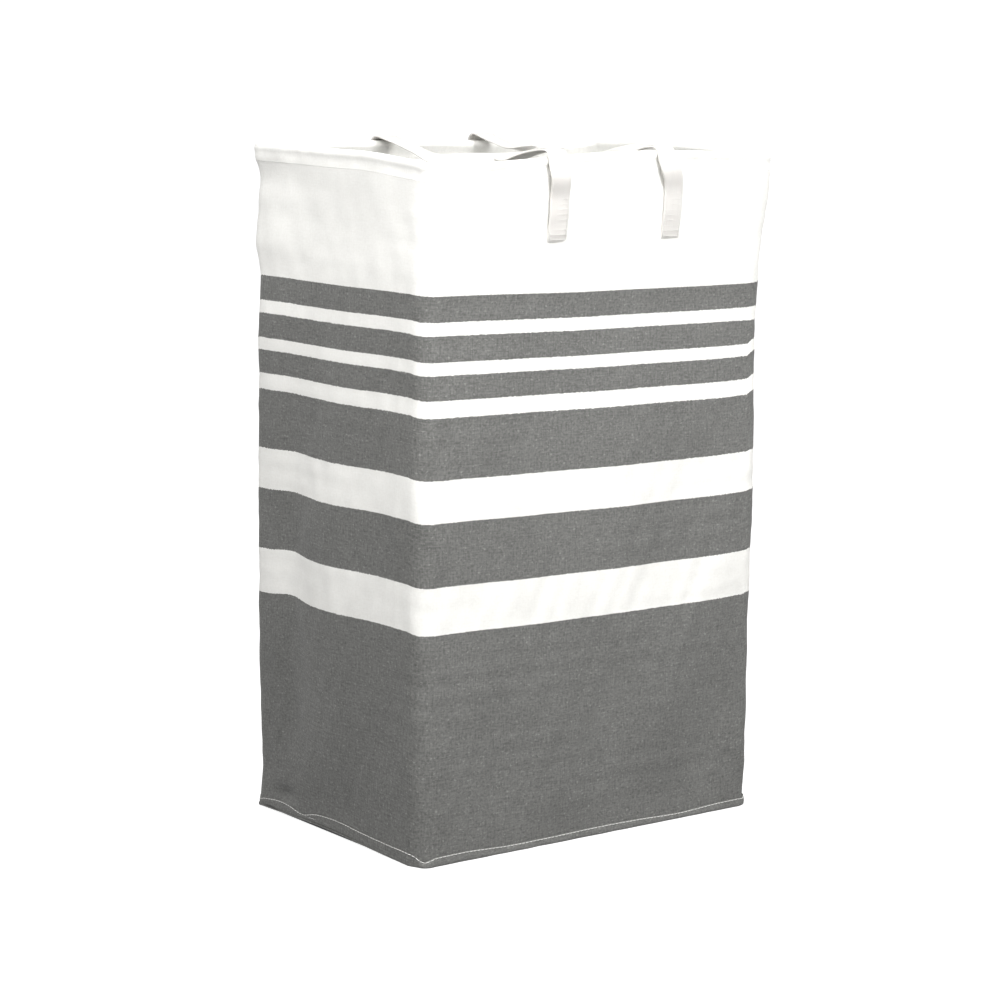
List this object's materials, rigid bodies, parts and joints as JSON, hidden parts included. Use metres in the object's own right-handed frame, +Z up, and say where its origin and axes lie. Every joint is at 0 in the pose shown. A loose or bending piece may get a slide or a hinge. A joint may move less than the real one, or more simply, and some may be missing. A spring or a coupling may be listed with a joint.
{
  "type": "laundry hamper",
  "caption": "Tall open-topped cloth laundry hamper with printed grey stripes, a wire rim in a folded hem, a boarded floor and webbing handles folded inside.",
  "frame": {"origin": "middle of the underside, on the floor", "axes": "+Z up, X along the long side, front long face towards -Y"},
  "size_m": [0.4, 0.2992, 0.6297],
  "materials": {
    "printed_cloth": "cream linen-look cotton canvas with printed grey stripes",
    "waterproof_film": "soft white film laminated to the cloth",
    "seam_tape": "narrow woven binding",
    "stiffening_board": "plain extruded board",
    "steel_wire": "drawn wire",
    "ferrule": "plain tube",
    "webbing": "cream herringbone cotton webbing"
  },
  "bodies": {
    "base": {"base_cloth": "printed_cloth", "base_board": "stiffening_board", "floor_film": "waterproof_film", "base_seam_lip": "printed_cloth", "front_left_cloth_lower": "printed_cloth", "back_right_cloth_lower": "printed_cloth", "front_left_film_lower": "waterproof_film", "back_right_film_lower": "waterproof_film", "back_left_seam_tape_lower": "seam_tape", "front_right_seam_tape_lower": "seam_tape"},
    "rim": {"front_left_cloth_upper": "printed_cloth", "back_right_cloth_upper": "printed_cloth", "front_left_film_upper": "waterproof_film", "back_right_film_upper": "waterproof_film", "back_left_seam_tape_upper": "seam_tape", "front_right_seam_tape_upper": "seam_tape", "front_left_hem": "printed_cloth", "back_right_hem": "printed_cloth", "rim_wire": "steel_wire", "wire_ferrule": "ferrule", "front_handle_end_left": "webbing", "front_handle_end_right": "webbing", "back_handle_end_left": "webbing", "back_handle_end_right": "webbing"},
    "front_handle": {"front_handle_loop": "webbing"},
    "back_handle": {"back_handle_loop": "webbing"}
  },
  "joints": [
    {"name": "rim_collapse", "type": "slide", "parent": "base", "child": "rim", "axis": [0, 0, 1], "range_m": [-0.44, 0], "deforming": ["front_left_cloth_lower", "back_right_cloth_lower", "front_left_film_lower", "back_right_film_lower", "back_left_seam_tape_lower", "front_right_seam_tape_lower"]},
    {"name": "front_handle_fold", "type": "hinge", "parent": "rim", "child": "front_handle", "pos_m": [0, -0.1432, 0.6177], "axis": [1, 0, 0], "range_deg": [0, 90]},
    {"name": "back_handle_fold", "type": "hinge", "parent": "rim", "child": "back_handle", "pos_m": [0, 0.1432, 0.6177], "axis": [-1, 0, 0], "range_deg": [0, 90]}
  ]
}
